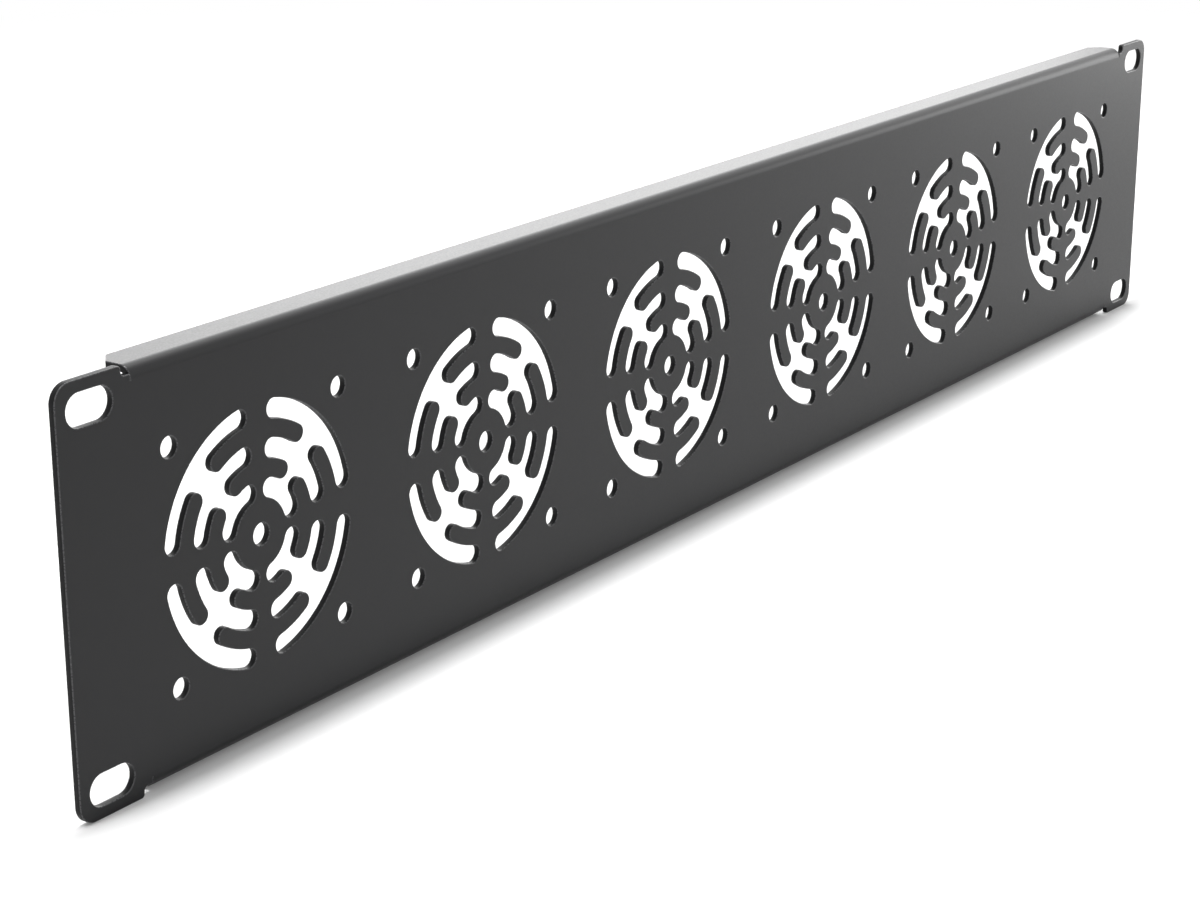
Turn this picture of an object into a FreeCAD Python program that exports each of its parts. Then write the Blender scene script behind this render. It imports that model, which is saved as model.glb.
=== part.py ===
import FreeCAD, Part
import os
from math import cos, radians, sin

import Sketcher

# Blank 19-inch rack panel, two rack units high, punched with six finger guards for 60 mm fans.
#
# The panel is one piece of sheet steel: a flat front with a rack ear at each end, and a long edge
# folded back along the top and along the bottom. Lengths are millimetres and angles degrees.
# The origin is the centre of the four rack slots, on the back face of the ears, which is the face
# that meets the posts of the rack. +X runs along the panel, +Y points into the rack, +Z is up.

SIZES = [
    ("panel_width", 482.6, "over both ears, the 19-inch rack width"),
    ("panel_height", 88.1, "height of the ears, two rack units less the gap between panels"),
    ("gauge", 1.6, "thickness of the coated sheet"),
    ("ear_width", 17.2, "from the relief notches to the end of the panel"),
    ("ear_corner_radius", 4.0, "outer corners of the ears"),
    ("ear_inner_radius", 0.8, "corners of the ears beside the relief notches"),
    ("notch_width", 2.4, "gap between an ear and the end of a folded edge"),
    ("notch_depth", 2.2, "from the edge of an ear to the bottom of the notch"),
    ("notch_radius", 1.0, "corner at the bottom of the notch, on the ear's side"),
    ("fold_setback", 0.75, "how far the folded edges lie inside the edges of the ears"),
    ("fold_radius", 1.1, "inside radius of the bends"),
    ("fold_depth", 9.7, "from the front face to the free edge of a fold"),
    ("fold_corner_cut", 3.3, "corner cut off at each end of a fold"),
    ("slot_inset_across", 8.75, "from the end of the panel to a rack slot: 465.1 apart"),
    ("slot_inset_up", 5.95, "from the edge of an ear to a rack slot: 76.2 apart"),
    ("rack_slot_length", 12.0, "rack slots, end to end"),
    ("rack_slot_width", 6.8, "rack slots, which pass an M6 screw"),
    ("fan_count", 6, "fan places in the row"),
    ("fan_pitch", 75.0, "from one fan's centre to the next"),
    ("fan_hole_spacing", 50.0, "side of the square of screw holes of a 60 mm fan"),
    ("fan_hole_diameter", 4.5, "fan screw holes"),
    ("hub_hole_diameter", 4.8, "hole in the middle of a guard"),
    ("first_ring_radius", 9.65, "middle of the innermost ring of openings"),
    ("ring_pitch", 8.12, "from one ring of openings to the next"),
    ("opening_width", 4.15, "the openings, measured along the radius"),
    ("spoke_half_angle", 6.8, "from the middle of a spoke to the ends of the openings"),
    ("trunk_half_angle", 7.0, "from the diagonal of a quarter to the tips of the fingers"),
]
RINGS = 3
QUARTERS = 4

# Rules for what follows from the sizes.
HALF_WIDTH = "sizes.panel_width / 2"
HALF_HEIGHT = "sizes.panel_height / 2"
EAR_START = "(sizes.panel_width / 2 - sizes.ear_width)"
FOLD_END = "(sizes.panel_width / 2 - sizes.ear_width - sizes.notch_width)"
FOLD_TOP = "(sizes.panel_height / 2 - sizes.fold_setback)"
FOLD_BACK = "(sizes.fold_depth - sizes.gauge)"
NOTCH_BOTTOM = "(sizes.panel_height / 2 - sizes.notch_depth)"
SLOT_ACROSS = "(sizes.panel_width / 2 - sizes.slot_inset_across)"
SLOT_UP = "(sizes.panel_height / 2 - sizes.slot_inset_up)"
SLOT_REACH = "(sizes.rack_slot_length - sizes.rack_slot_width) / 2"
FIRST_FAN = "-(sizes.fan_count - 1) * sizes.fan_pitch / 2"
FINGER_WIDTH = "(sizes.ring_pitch - sizes.opening_width)"

# A sketch's own numbers for the points of its lines and arcs, and for its origin.
START, END, CENTRE = range(1, 4)
ORIGIN = (-1, START)


def make_sheet(document):
    """The driving dimensions, one named cell each."""
    sheet = document.addObject("Spreadsheet::Sheet", "sizes")
    for row, (alias, value, meaning) in enumerate(SIZES, start=1):
        sheet.set(f"A{row}", meaning)
        sheet.set(f"B{row}", str(value))
        sheet.setAlias(f"B{row}", alias)
    document.recompute()
    return sheet


def plane_of(body, role):
    return (next(item for item in body.Origin.OriginFeatures if item.Role == role), [""])


def polar(radius, angle):
    return radius * cos(radians(angle)), radius * sin(radians(angle))


class Outline:
    """A sketch on one of the body's own planes, drawn piece by piece and tied to the sheet."""

    def __init__(self, body, name, plane, shift=None):
        self.sketch = body.newObject("Sketcher::SketchObject", name)
        self.sketch.AttachmentSupport = plane_of(body, plane)
        self.sketch.MapMode = "FlatFace"
        if shift:
            self.sketch.setExpression("AttachmentOffset.Base.x", shift)
            self.sketch.AttachmentOffset = FreeCAD.Placement(
                FreeCAD.Vector(self.measure(shift), 0, 0), FreeCAD.Rotation())

    def measure(self, rule):
        return float(self.sketch.evalExpression(rule))

    def line(self, start, end):
        """A straight piece, as its number and the points where the outline enters and leaves."""
        edge = Part.LineSegment(FreeCAD.Vector(*start, 0), FreeCAD.Vector(*end, 0))
        return self.sketch.addGeometry(edge), START, END

    def circle(self, centre, radius):
        return self.sketch.addGeometry(
            Part.Circle(FreeCAD.Vector(*centre, 0), FreeCAD.Vector(0, 0, 1), radius))

    def arc(self, centre, radius, first, last):
        """A round piece from one angle to the other, clockwise where the angle falls."""
        circle = Part.Circle(FreeCAD.Vector(*centre, 0), FreeCAD.Vector(0, 0, 1), radius)
        low, high = sorted((radians(first), radians(last)))
        number = self.sketch.addGeometry(Part.ArcOfCircle(circle, low, high))
        return (number, START, END) if first < last else (number, END, START)

    def close(self, pieces):
        """Join the pieces into a loop: smoothly at an arc, with a corner between two lines."""
        for (number, _, leave), (other, enter, _) in zip(pieces, pieces[1:] + pieces[:1]):
            straight = all(self.sketch.Geometry[item].TypeId == "Part::GeomLineSegment"
                           for item in (number, other))
            self.tie("Coincident" if straight else "Tangent", number, leave, other, enter)

    def tie(self, *constraint):
        return self.sketch.addConstraint(Sketcher.Constraint(*constraint))

    def size(self, kind, *where, rule):
        """A dimension that follows the sheet."""
        number = self.tie(kind, *where, self.measure(rule))
        self.sketch.setExpression(f"Constraints[{number}]", rule)

    def square_up(self, level=(), upright=()):
        for number, _, _ in level:
            self.tie("Horizontal", number)
        for number, _, _ in upright:
            self.tie("Vertical", number)

    def place(self, number, point, across=None, up=None):
        """Set a point's distance from the origin. A rule with a minus lies left or below."""
        for kind, rule in (("DistanceX", across), ("DistanceY", up)):
            if rule is None:
                continue
            if rule.startswith("-"):
                self.size(kind, number, point, *ORIGIN, rule=rule[1:])
            else:
                self.size(kind, *ORIGIN, number, point, rule=rule)


def fold_section(body):
    """Cross-section of the middle of the panel: the front, two bends and two folded edges."""
    outline = Outline(body, "fold_section", "YZ_Plane")
    gauge = outline.measure("sizes.gauge")
    inside = outline.measure("sizes.fold_radius")
    top = outline.measure(FOLD_TOP)
    back = outline.measure(FOLD_BACK)
    outside = inside + gauge
    bend = top - outside

    front = outline.line((-gauge, bend), (-gauge, -bend))
    low_outer = outline.arc((inside, -bend), outside, 180, 270)
    low_under = outline.line((inside, -top), (back, -top))
    low_edge = outline.line((back, -top), (back, gauge - top))
    low_over = outline.line((back, gauge - top), (inside, gauge - top))
    low_inner = outline.arc((inside, -bend), inside, 270, 180)
    rear = outline.line((0, -bend), (0, bend))
    high_inner = outline.arc((inside, bend), inside, 180, 90)
    high_under = outline.line((inside, top - gauge), (back, top - gauge))
    high_edge = outline.line((back, top - gauge), (back, top))
    high_over = outline.line((back, top), (inside, top))
    high_outer = outline.arc((inside, bend), outside, 90, 180)

    outline.close([front, low_outer, low_under, low_edge, low_over, low_inner,
                   rear, high_inner, high_under, high_edge, high_over, high_outer])
    outline.square_up(level=(low_under, low_over, high_under, high_over),
                      upright=(front, rear, low_edge, high_edge))
    for outer, inner in ((low_outer, low_inner), (high_outer, high_inner)):
        outline.tie("Coincident", outer[0], CENTRE, inner[0], CENTRE)
        outline.size("Radius", inner[0], rule="sizes.fold_radius")
    outline.tie("PointOnObject", rear[0], START, -2)
    outline.place(front[0], START, across="-sizes.gauge")
    outline.place(low_under[0], START, up="-" + FOLD_TOP)
    outline.place(high_over[0], START, up=FOLD_TOP)
    outline.place(low_edge[0], START, across=FOLD_BACK)
    outline.place(high_edge[0], START, across=FOLD_BACK)
    return outline.sketch


def ear_outline(body):
    """The right ear with half of the two relief notches that part it from the folded edges."""
    outline = Outline(body, "ear_outline", "XZ_Plane")
    fold_end = outline.measure(FOLD_END)
    start = outline.measure(EAR_START)
    end = outline.measure(HALF_WIDTH)
    top = outline.measure(HALF_HEIGHT)
    notch = outline.measure(NOTCH_BOTTOM)
    corner = outline.measure("sizes.ear_corner_radius")
    inner = outline.measure("sizes.ear_inner_radius")
    relief = outline.measure("sizes.notch_radius")

    root = outline.line((fold_end, notch), (fold_end, -notch))
    low_notch = outline.line((fold_end, -notch), (start - relief, -notch))
    low_relief = outline.arc((start - relief, -notch - relief), relief, 90, 0)
    low_side = outline.line((start, -notch - relief), (start, inner - top))
    low_inner = outline.arc((start + inner, inner - top), inner, 180, 270)
    low_edge = outline.line((start + inner, -top), (end - corner, -top))
    low_corner = outline.arc((end - corner, corner - top), corner, 270, 360)
    side = outline.line((end, corner - top), (end, top - corner))
    high_corner = outline.arc((end - corner, top - corner), corner, 0, 90)
    high_edge = outline.line((end - corner, top), (start + inner, top))
    high_inner = outline.arc((start + inner, top - inner), inner, 90, 180)
    high_side = outline.line((start, top - inner), (start, notch + relief))
    high_relief = outline.arc((start - relief, notch + relief), relief, 360, 270)
    high_notch = outline.line((start - relief, notch), (fold_end, notch))

    outline.close([root, low_notch, low_relief, low_side, low_inner, low_edge, low_corner,
                   side, high_corner, high_edge, high_inner, high_side, high_relief, high_notch])
    outline.square_up(level=(low_notch, low_edge, high_edge, high_notch),
                      upright=(root, low_side, side, high_side))
    for pieces, rule in (((low_relief, high_relief), "sizes.notch_radius"),
                         ((low_inner, high_inner), "sizes.ear_inner_radius"),
                         ((low_corner, high_corner), "sizes.ear_corner_radius")):
        for number, _, _ in pieces:
            outline.size("Radius", number, rule=rule)
    outline.place(root[0], START, across=FOLD_END, up=NOTCH_BOTTOM)
    outline.place(low_side[0], START, across=EAR_START)
    outline.place(high_side[0], START, across=EAR_START)
    outline.place(side[0], START, across=HALF_WIDTH)
    outline.place(low_notch[0], START, up="-" + NOTCH_BOTTOM)
    outline.place(low_edge[0], START, up="-" + HALF_HEIGHT)
    outline.place(high_edge[0], START, up=HALF_HEIGHT)
    return outline.sketch


def rack_slots(body):
    """The two long slots of the right ear, seen from the front."""
    outline = Outline(body, "rack_slot_outline", "XZ_Plane")
    middle = outline.measure(SLOT_ACROSS)
    height = outline.measure(SLOT_UP)
    radius = outline.measure("sizes.rack_slot_width / 2")
    reach = outline.measure(SLOT_REACH)
    for up, sign in ((height, ""), (-height, "-")):
        near, far = middle - reach, middle + reach
        bottom = outline.line((near, up - radius), (far, up - radius))
        right = outline.arc((far, up), radius, -90, 90)
        top = outline.line((far, up + radius), (near, up + radius))
        left = outline.arc((near, up), radius, 90, 270)
        outline.close([bottom, right, top, left])
        outline.square_up(level=(bottom, top))
        outline.size("Radius", right[0], rule="sizes.rack_slot_width / 2")
        outline.size("DistanceX", left[0], CENTRE, right[0], CENTRE, rule="2 * " + SLOT_REACH)
        outline.place(right[0], CENTRE, across=f"{SLOT_ACROSS} + {SLOT_REACH}", up=sign + SLOT_UP)
    return outline.sketch


def fold_corner(body):
    """The triangle cut off the right end of both folded edges, seen from above."""
    outline = Outline(body, "fold_corner_outline", "XY_Plane")
    end = outline.measure(FOLD_END)
    back = outline.measure(FOLD_BACK)
    cut = outline.measure("sizes.fold_corner_cut")
    side = outline.line((end, back - cut), (end, back))
    edge = outline.line((end, back), (end - cut, back))
    slope = outline.line((end - cut, back), (end, back - cut))
    outline.close([side, edge, slope])
    outline.square_up(level=(edge,), upright=(side,))
    outline.place(side[0], END, across=FOLD_END, up=FOLD_BACK)
    for number, enter, leave, kind in ((side[0], START, END, "DistanceY"),
                                       (edge[0], END, START, "DistanceX")):
        outline.size(kind, number, enter, number, leave, rule="sizes.fold_corner_cut")
    return outline.sketch


def fan_holes(body):
    """The first fan's four screw holes, and the hole in the middle of its guard."""
    outline = Outline(body, "fan_hole_outline", "XZ_Plane", shift=FIRST_FAN)
    side = outline.measure("sizes.fan_hole_spacing / 2")
    radius = outline.measure("sizes.fan_hole_diameter / 2")
    for across in (-1, 1):
        for up in (-1, 1):
            hole = outline.circle((across * side, up * side), radius)
            outline.size("Radius", hole, rule="sizes.fan_hole_diameter / 2")
            outline.place(hole, CENTRE,
                          across="-" * (across < 0) + "sizes.fan_hole_spacing / 2",
                          up="-" * (up < 0) + "sizes.fan_hole_spacing / 2")
    hub = outline.circle((0, 0), outline.measure("sizes.hub_hole_diameter / 2"))
    outline.size("Radius", hub, rule="sizes.hub_hole_diameter / 2")
    outline.tie("Coincident", hub, CENTRE, *ORIGIN)
    return outline.sketch


class GuardQuarter:
    """One quarter of the first fan's guard.

    Three curved openings lie one inside the other and end in half circles beside the spokes.
    An opening along the diagonal joins them, so the metal between two openings is a finger
    that starts at a spoke and ends in a round tip beside the diagonal.
    """

    def __init__(self, body):
        self.outline = Outline(body, "guard_quarter_outline", "XZ_Plane", shift=FIRST_FAN)

    def measure(self, rule):
        return self.outline.measure(rule)

    def ring(self, ring, side=0):
        """Radius of a ring of openings: its middle, its inner edge (-1) or its outer edge (1)."""
        return f"(sizes.first_ring_radius + {ring} * sizes.ring_pitch + {side} * sizes.opening_width / 2)"

    def finger(self, ring):
        """Middle radius of the finger outside a ring of openings."""
        return f"(sizes.first_ring_radius + ({ring} + 0.5) * sizes.ring_pitch)"

    def opening_end(self, ring):
        """Angle from the middle of a spoke to the centre of an opening's rounded end."""
        return f"(sizes.spoke_half_angle * 1 deg + asin(sizes.opening_width / 2 / {self.ring(ring)}))"

    def finger_end(self, ring):
        """Angle from the middle of a spoke to the centre of a finger's rounded tip."""
        return (f"(45 deg - sizes.trunk_half_angle * 1 deg"
                f" - asin({FINGER_WIDTH} / 2 / {self.finger(ring)}))")

    def edge(self, ring, side, first, last):
        """A stretch of an opening's inner or outer edge, round the fan's centre."""
        rule = self.ring(ring, side)
        piece = self.outline.arc((0, 0), self.measure(rule), first, last)
        self.outline.tie("Coincident", piece[0], CENTRE, *ORIGIN)
        self.outline.size("Radius", piece[0], rule=rule)
        return piece

    def round_end(self, middle, angle, width, first, turn, upper):
        """A half circle from one edge to the other, at its angle from the nearer spoke."""
        radius = self.measure(middle)
        around = self.measure(angle)
        around = 90 - around if upper else around
        piece = self.outline.arc(polar(radius, around), self.measure(width) / 2,
                                 around + first, around + first + turn)
        self.outline.place(piece[0], CENTRE,
                           **{"across" if upper else "up": f"{middle} * sin({angle})"})
        return piece

    def opening_round(self, ring, upper):
        return self.round_end(self.ring(ring), self.opening_end(ring), "sizes.opening_width",
                              0 if upper else 180, 180, upper)

    def finger_tip(self, ring, upper):
        return self.round_end(self.finger(ring), self.finger_end(ring), FINGER_WIDTH,
                              0 if upper else 180, -180, upper)

    def draw(self):
        ends = [self.measure(self.opening_end(ring)) for ring in range(RINGS)]
        tips = [self.measure(self.finger_end(ring)) for ring in range(RINGS - 1)]
        outermost = RINGS - 1
        pieces = [self.edge(outermost, 1, ends[outermost], 90 - ends[outermost])]
        for ring in reversed(range(RINGS)):
            pieces.append(self.opening_round(ring, upper=True))
            if ring > 0:
                within = ring - 1
                pieces.append(self.edge(ring, -1, 90 - ends[ring], 90 - tips[within]))
                pieces.append(self.finger_tip(within, upper=True))
                pieces.append(self.edge(within, 1, 90 - tips[within], 90 - ends[within]))
        pieces.append(self.edge(0, -1, 90 - ends[0], ends[0]))
        for ring in range(RINGS):
            pieces.append(self.opening_round(ring, upper=False))
            if ring < outermost:
                pieces.append(self.edge(ring, 1, ends[ring], tips[ring]))
                pieces.append(self.finger_tip(ring, upper=False))
                pieces.append(self.edge(ring + 1, -1, tips[ring], ends[ring + 1]))
        self.outline.close(pieces)
        return self.outline.sketch


def add_sheet(body, name, sketch, length, sides="One side"):
    pad = body.newObject("PartDesign::Pad", name)
    pad.Profile = sketch
    pad.SideType = sides
    pad.setExpression("Length", length)
    return pad


def punch(body, name, sketch, sides="One side"):
    """Cut right through. The front lies on the far side of the upright sketches."""
    pocket = body.newObject("PartDesign::Pocket", name)
    pocket.Profile = sketch
    pocket.Type = "ThroughAll"
    pocket.SideType = sides
    pocket.Reversed = sides == "One side"
    return pocket


def fan_row(body, name, sketch):
    """Repeat along the panel, once for each fan."""
    row = body.newObject("PartDesign::LinearPattern", name)
    row.Direction = (sketch, ["H_Axis"])
    row.Mode = "Spacing"
    row.setExpression("Offset", "sizes.fan_pitch")
    row.setExpression("Occurrences", "sizes.fan_count")
    return row


def make_panel(document):
    body = document.addObject("PartDesign::Body", "fan_panel")
    body.Label = "fan_panel"

    add_sheet(body, "folded_middle", fold_section(body), "2 * " + FOLD_END, "Symmetric")
    ear = add_sheet(body, "right_ear", ear_outline(body), "sizes.gauge")
    slots = punch(body, "right_rack_slots", rack_slots(body))
    corners = punch(body, "right_fold_corners", fold_corner(body), "Symmetric")
    left = body.newObject("PartDesign::Mirrored", "left_end")
    left.Originals = [ear, slots, corners]
    left.MirrorPlane = plane_of(body, "YZ_Plane")
    body.Tip = left

    hole_outline = fan_holes(body)
    holes = punch(body, "first_fan_holes", hole_outline)
    hole_row = fan_row(body, "fan_holes", hole_outline)
    hole_row.Originals = [holes]
    body.Tip = hole_row

    quarter_outline = GuardQuarter(body).draw()
    quarter = punch(body, "first_guard_quarter", quarter_outline)
    guards = body.newObject("PartDesign::MultiTransform", "fan_guards")
    guards.Originals = [quarter]
    turns = body.newObject("PartDesign::PolarPattern", "guard_quarters")
    turns.Axis = (quarter_outline, ["N_Axis"])
    turns.Angle = 360
    turns.Occurrences = QUARTERS
    guards.Transformations = [turns, fan_row(body, "guard_row", quarter_outline)]
    body.Tip = guards
    return body


def check(document, body):
    """Stop if a feature failed, a cut took nothing away or the panel is not one sound solid."""
    for item in document.Objects:
        if "Invalid" in item.State or "Error" in item.State:
            raise RuntimeError(f"{item.Name} failed: {item.getStatusString()}")
        if item.TypeId == "PartDesign::Pocket":
            if item.Shape.Volume >= item.BaseFeature.Shape.Volume:
                raise RuntimeError(f"{item.Name} cuts nothing")
    shape = body.Shape
    if shape.isNull() or not shape.isValid() or len(shape.Solids) != 1:
        raise RuntimeError(f"{body.Label} is not one valid solid")


document = FreeCAD.newDocument("fan_panel")
make_sheet(document)
panel = make_panel(document)
document.recompute()
check(document, panel)

os.makedirs("parts", exist_ok=True)
panel.Shape.exportStep(f"parts/{panel.Label}.step")
box = panel.Shape.BoundBox
print(f"{panel.Label}: {box.XLength:.2f} x {box.YLength:.2f} x {box.ZLength:.2f} mm,"
      f" {panel.Shape.Volume / 1000:.2f} cm3, {len(panel.Shape.Faces)} faces")
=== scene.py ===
from math import acos, ceil, cos, pi, radians, sin, tan

import bmesh
import bpy
from mathutils import Matrix, Vector


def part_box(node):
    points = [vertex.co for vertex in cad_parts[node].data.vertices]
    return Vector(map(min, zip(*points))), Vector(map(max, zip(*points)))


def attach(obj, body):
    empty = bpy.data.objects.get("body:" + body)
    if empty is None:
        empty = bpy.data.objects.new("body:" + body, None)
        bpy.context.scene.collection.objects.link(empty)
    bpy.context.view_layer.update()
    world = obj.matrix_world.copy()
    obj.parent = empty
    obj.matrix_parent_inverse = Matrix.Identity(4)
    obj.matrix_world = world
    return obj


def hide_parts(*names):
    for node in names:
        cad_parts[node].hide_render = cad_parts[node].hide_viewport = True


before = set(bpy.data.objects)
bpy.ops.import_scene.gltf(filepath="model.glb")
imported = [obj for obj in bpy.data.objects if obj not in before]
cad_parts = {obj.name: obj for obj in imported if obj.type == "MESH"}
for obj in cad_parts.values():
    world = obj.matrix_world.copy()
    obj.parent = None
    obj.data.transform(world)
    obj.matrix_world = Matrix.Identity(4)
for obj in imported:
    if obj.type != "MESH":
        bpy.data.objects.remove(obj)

# A rack panel with six punched finger guards: one steel sheet, powder coated. It is made as the
# real one is. The flat blank is cut first, with the soft edges that its coat gives it, and then
# its two long edges are bent back.

MM = 0.001

# ---------------------------------------------------------------- sizes, in metres

GAUGE = 1.6 * MM
PANEL_WIDTH = 482.6 * MM
PANEL_HEIGHT = 88.1 * MM
EAR_WIDTH = 17.2 * MM
EAR_CORNER = 4.0 * MM
EAR_INNER_CORNER = 0.8 * MM
NOTCH_WIDTH = 2.4 * MM
NOTCH_DEPTH = 2.2 * MM
NOTCH_CORNER = 1.0 * MM
FOLD_SETBACK = 0.75 * MM
FOLD_RADIUS = 1.1 * MM
FOLD_DEPTH = 9.7 * MM
FOLD_CORNER_CUT = 3.3 * MM
SMALL_CORNER = 0.3 * MM

SLOT_LENGTH = 12.0 * MM
SLOT_WIDTH = 6.8 * MM
SLOTS_ACROSS = 465.1 * MM
SLOTS_UP = 76.2 * MM

FAN_COUNT = 6
FAN_PITCH = 75.0 * MM
SCREW_SPACING = 50.0 * MM
SCREW_HOLE_RADIUS = 2.25 * MM
HUB_HOLE_RADIUS = 2.4 * MM

RINGS = 3
QUARTERS = 4
FIRST_RING_RADIUS = 9.65 * MM
RING_PITCH = 8.12 * MM
OPENING_WIDTH = 4.15 * MM
FINGER_WIDTH = RING_PITCH - OPENING_WIDTH
SPOKE_HALF_ANGLE = radians(6.8)
TRUNK_HALF_ANGLE = radians(7.0)

# The blank is flat. Each long edge is bent back along a line, round the fold radius.
BEND_LINE = PANEL_HEIGHT / 2 - FOLD_SETBACK - FOLD_RADIUS - GAUGE
BEND_LENGTH = (FOLD_RADIUS + GAUGE / 2) * pi / 2
BEND_STEPS = 8
BLANK_EDGE = BEND_LINE + BEND_LENGTH + FOLD_DEPTH - FOLD_RADIUS - GAUGE
EAR_START = PANEL_WIDTH / 2 - EAR_WIDTH
FOLD_END = EAR_START - NOTCH_WIDTH
# The end of a fold parts from the flat sheet by a step of twice this, too small to see.
TEAR = 0.03 * MM

# The coat rounds both edges of every cut.
EDGE_ROUND = 0.2 * MM
EDGE_STEPS = 3

# How closely straight runs follow an arc, and how close two points have to be to be one.
CHORD_ERROR = 0.012 * MM
COARSEST_STEP = pi / 4
HOLE_SIDES = 28
SLOT_END_STEPS = 8
SAME_POINT = 0.001 * MM
SAME_CORNER = 0.002 * MM
ON_THE_LINE = 0.0005 * MM

# The coat's texture. The powder melts into an orange peel of waves about 2 mm apart and a few
# microns high. Its own grains are under 0.1 mm, and are drawn 0.45 mm wide, so that they show.
PEEL_SIZE = 2.0 * MM
PEEL_HEIGHT = 0.008 * MM
GRAIN_SIZE = 0.45 * MM
GRAIN_HEIGHT = 0.003 * MM
CLOUD_SIZE = 60.0 * MM
TEXTURE_STRENGTH = 0.5
GLOSS_SPREAD = 0.03

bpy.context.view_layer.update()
low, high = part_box("fan_panel")


# ---------------------------------------------------------------- nodes


def add_node(tree, kind, settings=None, inputs=None):
    """Add a node. An input takes a plain value, an output, or a node for its first output.

    A list of these goes to an input that joins several.
    """
    node = tree.nodes.new(kind)
    for name, value in (settings or {}).items():
        setattr(node, name, value)
    for name, given in (inputs or {}).items():
        for value in given if isinstance(given, list) else [given]:
            if isinstance(value, bpy.types.Node):
                value = value.outputs[0]
            if isinstance(value, bpy.types.NodeSocket):
                tree.links.new(value, node.inputs[name])
            else:
                node.inputs[name].default_value = value
    return node


# ---------------------------------------------------------------- materials


def linear(hex_colour):
    """An sRGB hex colour as the linear colour that the shaders want."""
    channels = [int(hex_colour[place:place + 2], 16) / 255 for place in (1, 3, 5)]
    return (*(c / 12.92 if c <= 0.04045 else ((c + 0.055) / 1.055) ** 2.4 for c in channels), 1.0)


def new_material(name):
    """An empty node material."""
    material = bpy.data.materials.new(name)
    material.use_nodes = True
    material.node_tree.nodes.clear()
    return material


def powder_coat(name, dark, light, roughness, specular):
    """Polyester powder, baked on: fine orange peel, a dusty grain, and a slight change of tone."""
    material = new_material(name)
    tree = material.node_tree
    place = add_node(tree, "ShaderNodeTexCoord").outputs["Object"]
    peel = add_node(tree, "ShaderNodeTexNoise", inputs={
        "Vector": place, "Scale": 1 / PEEL_SIZE, "Detail": 2.0, "Roughness": 0.5})
    grain = add_node(tree, "ShaderNodeTexNoise", inputs={
        "Vector": place, "Scale": 1 / GRAIN_SIZE, "Detail": 1.0, "Roughness": 0.6})
    cloud = add_node(tree, "ShaderNodeTexNoise", inputs={
        "Vector": place, "Scale": 1 / CLOUD_SIZE, "Detail": 3.0, "Roughness": 0.5})
    relief = add_node(tree, "ShaderNodeBump", inputs={
        "Height": peel, "Strength": TEXTURE_STRENGTH, "Distance": PEEL_HEIGHT})
    relief = add_node(tree, "ShaderNodeBump", inputs={
        "Height": grain, "Strength": TEXTURE_STRENGTH, "Distance": GRAIN_HEIGHT,
        "Normal": relief})
    tone = add_node(tree, "ShaderNodeMix", {"data_type": "RGBA"}, {
        "Factor": cloud, 6: linear(dark), 7: linear(light)})
    gloss = add_node(tree, "ShaderNodeMapRange", inputs={
        "Value": grain, "From Min": 0.3, "From Max": 0.7,
        "To Min": roughness - GLOSS_SPREAD, "To Max": roughness + GLOSS_SPREAD})
    coat = add_node(tree, "ShaderNodeBsdfPrincipled", inputs={
        "Base Color": tone.outputs[2], "Roughness": gloss, "IOR": 1.5,
        "Specular IOR Level": specular, "Normal": relief})
    add_node(tree, "ShaderNodeOutputMaterial", inputs={"Surface": coat})
    return material


def panel_coats():
    """One powder coat on the faces, with painted shade on the walls of the cuts and a painted
    highlight on their rims.
    """
    # Flat sheet takes an even satin coat: a soft black with broad, dim highlights.
    face_coat = powder_coat("black_powder_coated_steel", "#111112", "#151517",
                            roughness=0.37, specular=0.26)
    # Painted shade: the walls of the holes are coloured darker than the faces, and matt, so they
    # look almost pure black.
    painted_shade_wall_coat = powder_coat("cut_wall_painted_shade", "#09090a", "#0e0e0f",
                            roughness=0.5, specular=0.14)
    # Powder gathers on sharp edges and flows smooth, so the rims are glossier; their lighter colour
    # is a painted highlight, a thin light line round each opening.
    painted_highlight_rim_coat = powder_coat("rim_painted_highlight", "#242426", "#2b2b2e",
                           roughness=0.28, specular=0.6)
    return face_coat, painted_shade_wall_coat, painted_highlight_rim_coat


# ---------------------------------------------------------------- outlines


def arc(centre, radius, first, turn):
    """Points round an arc, both ends among them, fine enough to look round."""
    step = 2 * acos(1 - CHORD_ERROR / radius) if radius > CHORD_ERROR else COARSEST_STEP
    steps = max(2, ceil(abs(turn) / step))
    angles = [first + turn * number / steps for number in range(steps + 1)]
    return [Vector((centre[0] + radius * cos(a), centre[1] + radius * sin(a))) for a in angles]


def rounded(corners):
    """A closed outline from (x, y, radius) corners, each rounded to its radius."""
    points = []
    for number, (x, y, radius) in enumerate(corners):
        here = Vector((x, y))
        before = (here - Vector(corners[number - 1][:2])).normalized()
        after = (Vector(corners[(number + 1) % len(corners)][:2]) - here).normalized()
        turn = -before.angle_signed(after)
        start = here - before * radius * tan(abs(turn) / 2)
        side = 1 if turn > 0 else -1
        centre = start + Vector((-before.y, before.x)) * radius * side
        first = -Vector((1, 0)).angle_signed(start - centre)
        points += arc(centre, radius, first, turn)
    return points


def without_doubles(points):
    """The points of a closed outline, without those that repeat the one before."""
    return [point for number, point in enumerate(points)
            if (point - points[number - 1]).length > SAME_POINT]


def outline_curve(name, outlines, closed=True):
    """A curve of straight runs between the points of each outline."""
    curve = bpy.data.curves.new(name, "CURVE")
    curve.dimensions = "3D"
    for points in outlines:
        spline = curve.splines.new("POLY")
        spline.points.add(len(points) - 1)
        for place, point in zip(spline.points, points):
            place.co = (point[0], point[1], 0.0, 1.0)
        spline.use_cyclic_u = closed
    holder = bpy.data.objects.new(name, curve)
    bpy.context.scene.collection.objects.link(holder)
    return holder


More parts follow.
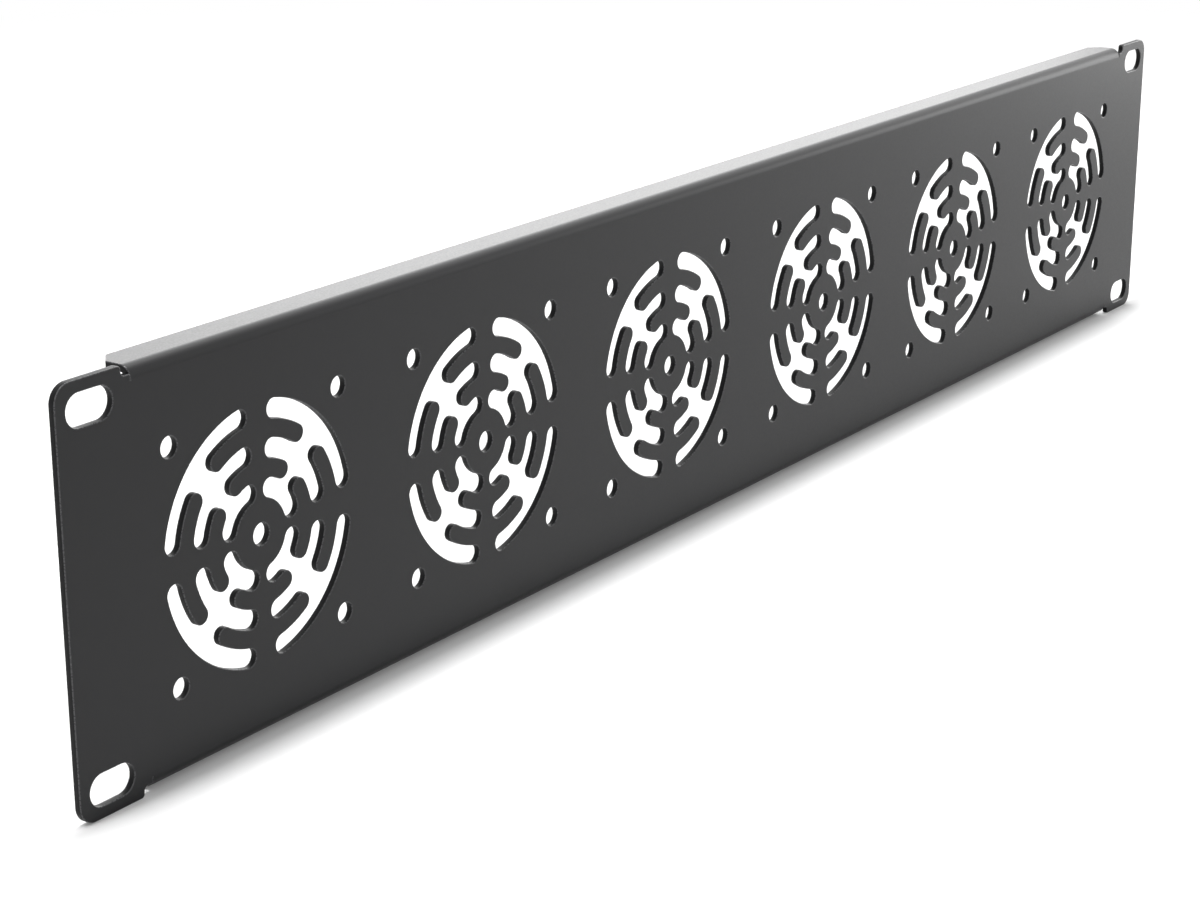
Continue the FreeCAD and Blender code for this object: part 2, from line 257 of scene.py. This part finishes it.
def blank_outline():
    """The whole sheet before it is folded, anticlockwise from the right ear."""
    notch_floor = PANEL_HEIGHT / 2 - NOTCH_DEPTH
    quarter = [
        (PANEL_WIDTH / 2, PANEL_HEIGHT / 2, EAR_CORNER),
        (EAR_START, PANEL_HEIGHT / 2, EAR_INNER_CORNER),
        (EAR_START, notch_floor, NOTCH_CORNER),
        (FOLD_END + TEAR, notch_floor, SMALL_CORNER),
        (FOLD_END + TEAR, BEND_LINE, TEAR),
        (FOLD_END - TEAR, BEND_LINE, TEAR),
        (FOLD_END - TEAR, BLANK_EDGE - FOLD_CORNER_CUT, SMALL_CORNER),
        (FOLD_END - FOLD_CORNER_CUT, BLANK_EDGE, SMALL_CORNER),
    ]
    upper = quarter + [(-x, y, radius) for x, y, radius in reversed(quarter)]
    return rounded(upper + [(-x, -y, radius) for x, y, radius in upper])


def guard_quarter():
    """The opening in one quarter of a finger guard: three curved slots, joined along the diagonal.

    The outline runs along the outer ring, in and out between the fingers of sheet, and back.
    """
    middle = [FIRST_RING_RADIUS + ring * RING_PITCH for ring in range(RINGS)]
    half = OPENING_WIDTH / 2
    ends = [SPOKE_HALF_ANGLE + half / radius for radius in middle]
    fingers = [radius + RING_PITCH / 2 for radius in middle[:-1]]
    tips = [pi / 4 - TRUNK_HALF_ANGLE - FINGER_WIDTH / 2 / radius for radius in fingers]

    def edge(radius, first, last):
        return arc((0, 0), radius, first, last - first)

    def half_round(radius, around, width, first, turn):
        return arc((radius * cos(around), radius * sin(around)), width / 2, around + first, turn)

    outer = RINGS - 1
    points = edge(middle[outer] + half, ends[outer], pi / 2 - ends[outer])
    for ring in reversed(range(RINGS)):
        points += half_round(middle[ring], pi / 2 - ends[ring], OPENING_WIDTH, 0, pi)
        if ring > 0:
            tip = pi / 2 - tips[ring - 1]
            points += edge(middle[ring] - half, pi / 2 - ends[ring], tip)
            points += half_round(fingers[ring - 1], tip, FINGER_WIDTH, 0, -pi)
            points += edge(middle[ring - 1] + half, tip, pi / 2 - ends[ring - 1])
    points += edge(middle[0] - half, pi / 2 - ends[0], ends[0])
    for ring in range(RINGS):
        points += half_round(middle[ring], ends[ring], OPENING_WIDTH, pi, pi)
        if ring < outer:
            points += edge(middle[ring] + half, ends[ring], tips[ring])
            points += half_round(fingers[ring], tips[ring], FINGER_WIDTH, pi, -pi)
            points += edge(middle[ring + 1] - half, tips[ring], ends[ring + 1])
    return without_doubles(points)


def rim_profile():
    """Across a cut edge, from the front face to the back: both of its edges are softly round."""
    straight = GAUGE / 2 - EDGE_ROUND
    angles = [pi / 2 * (EDGE_STEPS - step) / EDGE_STEPS for step in range(EDGE_STEPS + 1)]
    quarter = [(EDGE_ROUND * (cos(a) - 1), EDGE_ROUND * sin(a)) for a in angles]
    front = [(x, -straight - y) for x, y in quarter]
    back = [(x, straight + y) for x, y in reversed(quarter)]
    return front + back


# ---------------------------------------------------------------- the cut blank

# What the punch tree is given. The outlines and the coat are made later.
PUNCH_INPUTS = {
    "Guard quarter": ("NodeSocketObject", None),
    "Rim profile": ("NodeSocketObject", None),
    "Coat": ("NodeSocketMaterial", None),
    "Fans": ("NodeSocketInt", FAN_COUNT),
    "Fan pitch": ("NodeSocketFloat", FAN_PITCH),
    "Screw spacing": ("NodeSocketFloat", SCREW_SPACING),
    "Screw hole radius": ("NodeSocketFloat", SCREW_HOLE_RADIUS),
    "Hub hole radius": ("NodeSocketFloat", HUB_HOLE_RADIUS),
    "Slot length": ("NodeSocketFloat", SLOT_LENGTH),
    "Slot width": ("NodeSocketFloat", SLOT_WIDTH),
    "Slots across": ("NodeSocketFloat", SLOTS_ACROSS),
    "Slots up": ("NodeSocketFloat", SLOTS_UP),
    "Gauge": ("NodeSocketFloat", GAUGE),
    "Edge round": ("NodeSocketFloat", EDGE_ROUND),
}
# A slot's round ends take a hair less than its whole width, so that their corners don't meet.
SLOT_END_SHARE = 0.4995


def add_fan_place(tree, given, index):
    """One fan's place: four guard quarters about the hub hole, and a screw hole at each corner."""
    angle = add_node(tree, "ShaderNodeMath", {"operation": "MULTIPLY"},
                     {0: index, 1: pi * 2 / QUARTERS})
    turn = add_node(tree, "ShaderNodeCombineXYZ", inputs={"Z": angle})
    hub = add_node(tree, "GeometryNodePoints", inputs={"Count": QUARTERS})
    quarter = add_node(tree, "GeometryNodeObjectInfo", {"transform_space": "ORIGINAL"},
                       {"Object": given["Guard quarter"]})
    guard = add_node(tree, "GeometryNodeInstanceOnPoints", inputs={
        "Points": hub, "Instance": quarter.outputs["Geometry"], "Rotation": turn})
    screws = add_node(tree, "GeometryNodeMeshGrid", inputs={
        "Size X": given["Screw spacing"], "Size Y": given["Screw spacing"],
        "Vertices X": 2, "Vertices Y": 2})
    screw_hole = add_node(tree, "GeometryNodeCurvePrimitiveCircle", inputs={
        "Resolution": HOLE_SIDES, "Radius": given["Screw hole radius"]})
    screw_holes = add_node(tree, "GeometryNodeInstanceOnPoints", inputs={
        "Points": screws, "Instance": screw_hole})
    hub_hole = add_node(tree, "GeometryNodeCurvePrimitiveCircle", inputs={
        "Resolution": HOLE_SIDES, "Radius": given["Hub hole radius"]})
    return add_node(tree, "GeometryNodeJoinGeometry", inputs={
        "Geometry": [guard, screw_holes, hub_hole]})


def add_fan_row(tree, given, index, fan_place):
    """The row of fans, centred on the panel."""
    last = add_node(tree, "ShaderNodeMath", {"operation": "SUBTRACT"}, {0: given["Fans"], 1: 1})
    middle = add_node(tree, "ShaderNodeMath", {"operation": "MULTIPLY"}, {0: last, 1: 0.5})
    from_middle = add_node(tree, "ShaderNodeMath", {"operation": "SUBTRACT"},
                           {0: index, 1: middle})
    along = add_node(tree, "ShaderNodeMath", {"operation": "MULTIPLY"},
                     {0: from_middle, 1: given["Fan pitch"]})
    place = add_node(tree, "ShaderNodeCombineXYZ", inputs={"X": along})
    stations = add_node(tree, "GeometryNodePoints", inputs={
        "Count": given["Fans"], "Position": place})
    return add_node(tree, "GeometryNodeInstanceOnPoints", inputs={
        "Points": stations, "Instance": fan_place})


def add_rack_slots(tree, given):
    """The slots for the rack's screws, two in each ear."""
    box = add_node(tree, "GeometryNodeCurvePrimitiveQuadrilateral", inputs={
        "Width": given["Slot length"], "Height": given["Slot width"]})
    end_radius = add_node(tree, "ShaderNodeMath", {"operation": "MULTIPLY"},
                          {0: given["Slot width"], 1: SLOT_END_SHARE})
    slot = add_node(tree, "GeometryNodeFilletCurve", {"mode": "POLY"}, {
        "Curve": box, "Count": SLOT_END_STEPS, "Radius": end_radius})
    corners = add_node(tree, "GeometryNodeMeshGrid", inputs={
        "Size X": given["Slots across"], "Size Y": given["Slots up"],
        "Vertices X": 2, "Vertices Y": 2})
    return add_node(tree, "GeometryNodeInstanceOnPoints", inputs={
        "Points": corners, "Instance": slot})


def add_faces(tree, given, edges):
    """The front and the back, which stop where the rounding of the rims begins."""
    outward = add_node(tree, "GeometryNodeInputNormal")
    less = add_node(tree, "ShaderNodeMath", {"operation": "MULTIPLY"},
                    {0: given["Edge round"], 1: -1})
    inward = add_node(tree, "ShaderNodeVectorMath", {"operation": "SCALE"},
                      {0: outward, "Scale": less})
    inner = add_node(tree, "GeometryNodeSetPosition", inputs={
        "Geometry": edges, "Offset": inward})
    flat = add_node(tree, "GeometryNodeFillCurve", {"mode": "TRIANGLES"}, {"Curve": inner})
    half = add_node(tree, "ShaderNodeMath", {"operation": "MULTIPLY"},
                    {0: given["Gauge"], 1: 0.5})
    up = add_node(tree, "ShaderNodeCombineXYZ", inputs={"Z": half})
    down = add_node(tree, "ShaderNodeVectorMath", {"operation": "SCALE"}, {0: up, "Scale": -1.0})
    front = add_node(tree, "GeometryNodeTransform", inputs={
        "Geometry": flat, "Translation": up})
    back = add_node(tree, "GeometryNodeTransform", inputs={
        "Geometry": flat, "Translation": down})
    back = add_node(tree, "GeometryNodeFlipFaces", inputs={"Mesh": back})
    return front, back


def perforated_blank_tree():
    """Geometry Nodes that punch the blank, give the sheet its gauge and round its edges."""
    tree = bpy.data.node_groups.new("perforated_blank", "GeometryNodeTree")
    sockets = tree.interface
    sockets.new_socket("Blank", in_out="OUTPUT", socket_type="NodeSocketGeometry")
    sockets.new_socket("Blank outline", in_out="INPUT", socket_type="NodeSocketGeometry")
    for name, (kind, _) in PUNCH_INPUTS.items():
        sockets.new_socket(name, in_out="INPUT", socket_type=kind)
    given = add_node(tree, "NodeGroupInput").outputs
    index = add_node(tree, "GeometryNodeInputIndex")
    row = add_fan_row(tree, given, index, add_fan_place(tree, given, index))

    # Holes run the other way round from the outline, so the metal is always on the left.
    holes = add_node(tree, "GeometryNodeJoinGeometry", inputs={
        "Geometry": [row, add_rack_slots(tree, given)]})
    holes = add_node(tree, "GeometryNodeRealizeInstances", inputs={"Geometry": holes})
    holes = add_node(tree, "GeometryNodeReverseCurve", inputs={"Curve": holes})
    edges = add_node(tree, "GeometryNodeJoinGeometry", inputs={
        "Geometry": [given["Blank outline"], holes]})
    edges = add_node(tree, "GeometryNodeSetCurveNormal", {"mode": "Z_UP"}, {"Curve": edges})

    # The rim of every edge is the profile swept along it.
    profile = add_node(tree, "GeometryNodeObjectInfo", {"transform_space": "ORIGINAL"},
                       {"Object": given["Rim profile"]})
    rims = add_node(tree, "GeometryNodeCurveToMesh", inputs={
        "Curve": edges, "Profile Curve": profile.outputs["Geometry"]})
    front, back = add_faces(tree, given, edges)

    sheet = add_node(tree, "GeometryNodeJoinGeometry", inputs={"Geometry": [rims, front, back]})
    sheet = add_node(tree, "GeometryNodeMergeByDistance", inputs={
        "Geometry": sheet, "Distance": SAME_CORNER})
    sheet = add_node(tree, "GeometryNodeRealizeInstances", inputs={"Geometry": sheet})
    sheet = add_node(tree, "GeometryNodeSetMaterial", inputs={
        "Geometry": sheet, "Material": given["Coat"]})
    add_node(tree, "NodeGroupOutput", inputs={0: sheet})
    return tree


def cut_blank(coat):
    """The flat blank as a plain mesh."""
    blank = outline_curve("blank", [without_doubles(blank_outline())])
    quarter = outline_curve("guard_quarter", [guard_quarter()])
    profile = outline_curve("rim_profile", [rim_profile()], closed=False)
    punch = blank.modifiers.new("punch", "NODES")
    punch.node_group = perforated_blank_tree()
    values = {name: value for name, (_, value) in PUNCH_INPUTS.items()}
    values.update({"Guard quarter": quarter, "Rim profile": profile, "Coat": coat})
    for socket in punch.node_group.interface.items_tree:
        if socket.name in values:
            punch[socket.identifier] = values[socket.name]
    view = bpy.context.evaluated_depsgraph_get()
    mesh = bpy.data.meshes.new_from_object(blank.evaluated_get(view))
    blank.modifiers.remove(punch)
    for helper in (blank, quarter, profile):
        bpy.data.objects.remove(helper)
    return mesh


# ---------------------------------------------------------------- the folds

# The panel's material slots, and how level a face of the flat blank lies in each.
FACE, CUT_WALL, RIM = range(3)
LEVEL = 0.999
UPRIGHT = 0.1


def coat_of(face):
    """Which coat a face of the flat blank gets: a rim slants between a face and a cut wall."""
    level = abs(face.normal.z)
    if level < UPRIGHT:
        return CUT_WALL
    return RIM if level < LEVEL else FACE


def flat_blank_normal(vertex):
    """Flat faces stay flat in the light right up to their rims, which take all the rounding."""
    for face in vertex.link_faces:
        if abs(face.normal.z) > LEVEL:
            return Vector((0, 0, 1 if face.normal.z > 0 else -1))
    return vertex.normal.copy()


def bend_place(place, normal):
    """Where a point of the flat blank ends up, and which way its normal then points."""
    depth = GAUGE / 2 - place.z
    upright = Vector((normal.x, -normal.z, normal.y))
    run = abs(place.y) - BEND_LINE
    if run <= 0 or abs(place.x) > FOLD_END:
        return Vector((place.x, low.y + depth, place.y)), upright
    side = 1 if place.y > 0 else -1
    angle = min(run / BEND_LENGTH, 1) * pi / 2
    radius = FOLD_RADIUS + GAUGE - depth
    back = FOLD_RADIUS + GAUGE - radius * cos(angle) + max(run - BEND_LENGTH, 0)
    up = BEND_LINE + radius * sin(angle)
    return (Vector((place.x, low.y + back, side * up)),
            Matrix.Rotation(-side * angle, 3, "X") @ upright)


def fold_blank(mesh):
    """Cut the faces into strips along the bends, sort them by their coat, and bend them back."""
    blank = bmesh.new()
    blank.from_mesh(mesh)
    for side in (-1, 1):
        for step in range(BEND_STEPS + 1):
            line = side * (BEND_LINE + BEND_LENGTH * step / BEND_STEPS)
            everything = [*blank.verts, *blank.edges, *blank.faces]
            bmesh.ops.bisect_plane(blank, geom=everything, dist=ON_THE_LINE,
                                   plane_co=(0, line, 0), plane_no=(0, 1, 0))
    blank.normal_update()
    for face in blank.faces:
        face.smooth = True
        face.material_index = coat_of(face)
    normals = []
    for vertex in blank.verts:
        vertex.co, normal = bend_place(vertex.co.copy(), flat_blank_normal(vertex))
        normals.append(normal)
    blank.to_mesh(mesh)
    blank.free()
    mesh.normals_split_custom_set_from_vertices(normals)


# ---------------------------------------------------------------- the panel


def make_panel():
    """The finished panel, which takes the place of the solid one."""
    coats = panel_coats()
    mesh = cut_blank(coats[FACE])
    mesh.materials.clear()
    for coat in coats:
        mesh.materials.append(coat)
    fold_blank(mesh)
    panel = bpy.data.objects.new("folded_fan_panel", mesh)
    bpy.context.scene.collection.objects.link(panel)
    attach(panel, "root")
    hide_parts("fan_panel")


# ---------------------------------------------------------------- the studio

PAPER_WHITE = "#f2f2f2"
PAPER_GLOW = 0.06
PLAIN_WHITE = 1.0
# How far from the panel's centre the floor still shows shadows, and where it is plain white.
SHADOW_REACH = 0.5
WHITE_REACH = 0.9
FLOOR_REACH = 1.7
ROOM_LIGHT = 0.3

# The camera stands near the left end of the panel and a little above it.
CAMERA_PLACE = (-561.2 * MM, low.y - 342.65 * MM, 180.0 * MM)
CAMERA_TURN = radians(55.22)
CAMERA_DOWN = radians(17.89)
CAMERA_LENS = 79.3
CAMERA_SENSOR = 36.0

# The soft boxes: place, what each one faces, width, height, all in metres, and power in watts.
CENTRE = (low + high) / 2
OVERHEAD = Vector((-0.25, 0.06, 0.9))
UNDER_OVERHEAD = Vector((-0.25, 0.06, 0.0))
SOFT_BOXES = {
    # A long strip that whitens the folded top edge and draws the line where the bend starts.
    "overhead_strip": (OVERHEAD, UNDER_OVERHEAD, 1.3, 0.1, 10.5),
    # Big and low behind the far end: the sheen of the top edge, and the shadow in front.
    "back_box": ((1.05, 1.55, 0.57), CENTRE, 2.6, 1.0, 24.0),
    # Above the far end: the slow change of tone round the upper bend.
    "upper_end_box": ((1.6, 0.5, 1.1), CENTRE, 2.2, 1.3, 13.0),
    # These two make the front grow lighter toward its far end.
    "front_end_box": ((1.75, -1.2, 0.7), CENTRE, 2.2, 1.1, 3.0),
    "near_end_box": ((0.8, -0.19, 0.1), (0.2, 0.0, 0.0), 0.34, 0.3, 1.55),
    # Beside the camera: a little light on the near end and into the openings.
    "camera_side_box": ((-1.3, -1.3, 0.75), CENTRE, 1.0, 0.6, 5.0),
}


def seen_directly(tree):
    """One where the view, a gloss or a clear piece shows a thing, and none where it gives light."""
    ray = add_node(tree, "ShaderNodeLightPath").outputs
    seen = ray["Is Camera Ray"]
    for kind in ("Is Glossy Ray", "Is Transmission Ray"):
        seen = add_node(tree, "ShaderNodeMath", {"operation": "MAXIMUM"}, {0: seen, 1: ray[kind]})
    return seen


def white_paper():
    """Matt white paper. It keeps the object's shadow near by, and runs out into plain white."""
    material = new_material("matt_white_paper")
    tree = material.node_tree
    paper = add_node(tree, "ShaderNodeBsdfDiffuse", inputs={"Color": linear(PAPER_WHITE)})
    glow = add_node(tree, "ShaderNodeEmission", inputs={"Strength": PAPER_GLOW})
    near = add_node(tree, "ShaderNodeAddShader", inputs={0: paper, 1: glow})
    place = add_node(tree, "ShaderNodeTexCoord").outputs["Object"]
    away = add_node(tree, "ShaderNodeVectorMath", {"operation": "LENGTH"}, {0: place})
    fade = add_node(tree, "ShaderNodeMapRange", {"interpolation_type": "SMOOTHSTEP"}, {
        "Value": away.outputs["Value"], "From Min": SHADOW_REACH, "From Max": WHITE_REACH})
    share = add_node(tree, "ShaderNodeMath", {"operation": "MULTIPLY"},
                     {0: fade, 1: seen_directly(tree)})
    white = add_node(tree, "ShaderNodeEmission", inputs={"Strength": PLAIN_WHITE})
    both = add_node(tree, "ShaderNodeMixShader", inputs={0: share, 1: near, 2: white})
    add_node(tree, "ShaderNodeOutputMaterial", inputs={"Surface": both})
    return material


def make_floor():
    """The floor, level with the panel's lower edge."""
    mesh = bpy.data.meshes.new("floor")
    corners = [(x * FLOOR_REACH, y * FLOOR_REACH, low.z)
               for x, y in ((-1, -1), (1, -1), (1, 1), (-1, 1))]
    mesh.from_pydata(corners, [], [(0, 1, 2, 3)])
    mesh.materials.append(white_paper())
    floor = bpy.data.objects.new("floor", mesh)
    bpy.context.scene.collection.objects.link(floor)


def make_world():
    """Plain white to the eye, with only a dim even light of its own."""
    world = bpy.data.worlds.new("studio")
    world.use_nodes = True
    tree = world.node_tree
    tree.nodes.clear()
    strength = add_node(tree, "ShaderNodeMapRange", inputs={
        "Value": seen_directly(tree), "To Min": ROOM_LIGHT, "To Max": PLAIN_WHITE})
    background = add_node(tree, "ShaderNodeBackground", inputs={
        "Color": (1, 1, 1, 1), "Strength": strength})
    add_node(tree, "ShaderNodeOutputWorld", inputs={"Surface": background})
    bpy.context.scene.world = world


def make_soft_box(name, place, facing, width, height, power):
    """A flat rectangular lamp that faces a point."""
    lamp = bpy.data.lights.new(name, "AREA")
    lamp.shape = "RECTANGLE"
    lamp.size = width
    lamp.size_y = height
    lamp.energy = power
    holder = bpy.data.objects.new(name, lamp)
    holder.location = place
    holder.rotation_euler = (Vector(facing) - Vector(place)).to_track_quat("-Z", "Y").to_euler()
    bpy.context.scene.collection.objects.link(holder)


def make_camera():
    """It looks along the front of the panel, and a little down on it."""
    ahead = Vector((sin(CAMERA_TURN) * cos(CAMERA_DOWN),
                    cos(CAMERA_TURN) * cos(CAMERA_DOWN),
                    -sin(CAMERA_DOWN)))
    data = bpy.data.cameras.new("camera")
    data.sensor_width = CAMERA_SENSOR
    data.lens = CAMERA_LENS
    camera = bpy.data.objects.new("camera", data)
    camera.location = CAMERA_PLACE
    camera.rotation_euler = ahead.to_track_quat("-Z", "Y").to_euler()
    bpy.context.scene.collection.objects.link(camera)
    bpy.context.scene.camera = camera


make_panel()
make_floor()
make_world()
make_camera()
for name, box in SOFT_BOXES.items():
    make_soft_box(name, *box)

bpy.context.scene.view_settings.view_transform = "Standard"
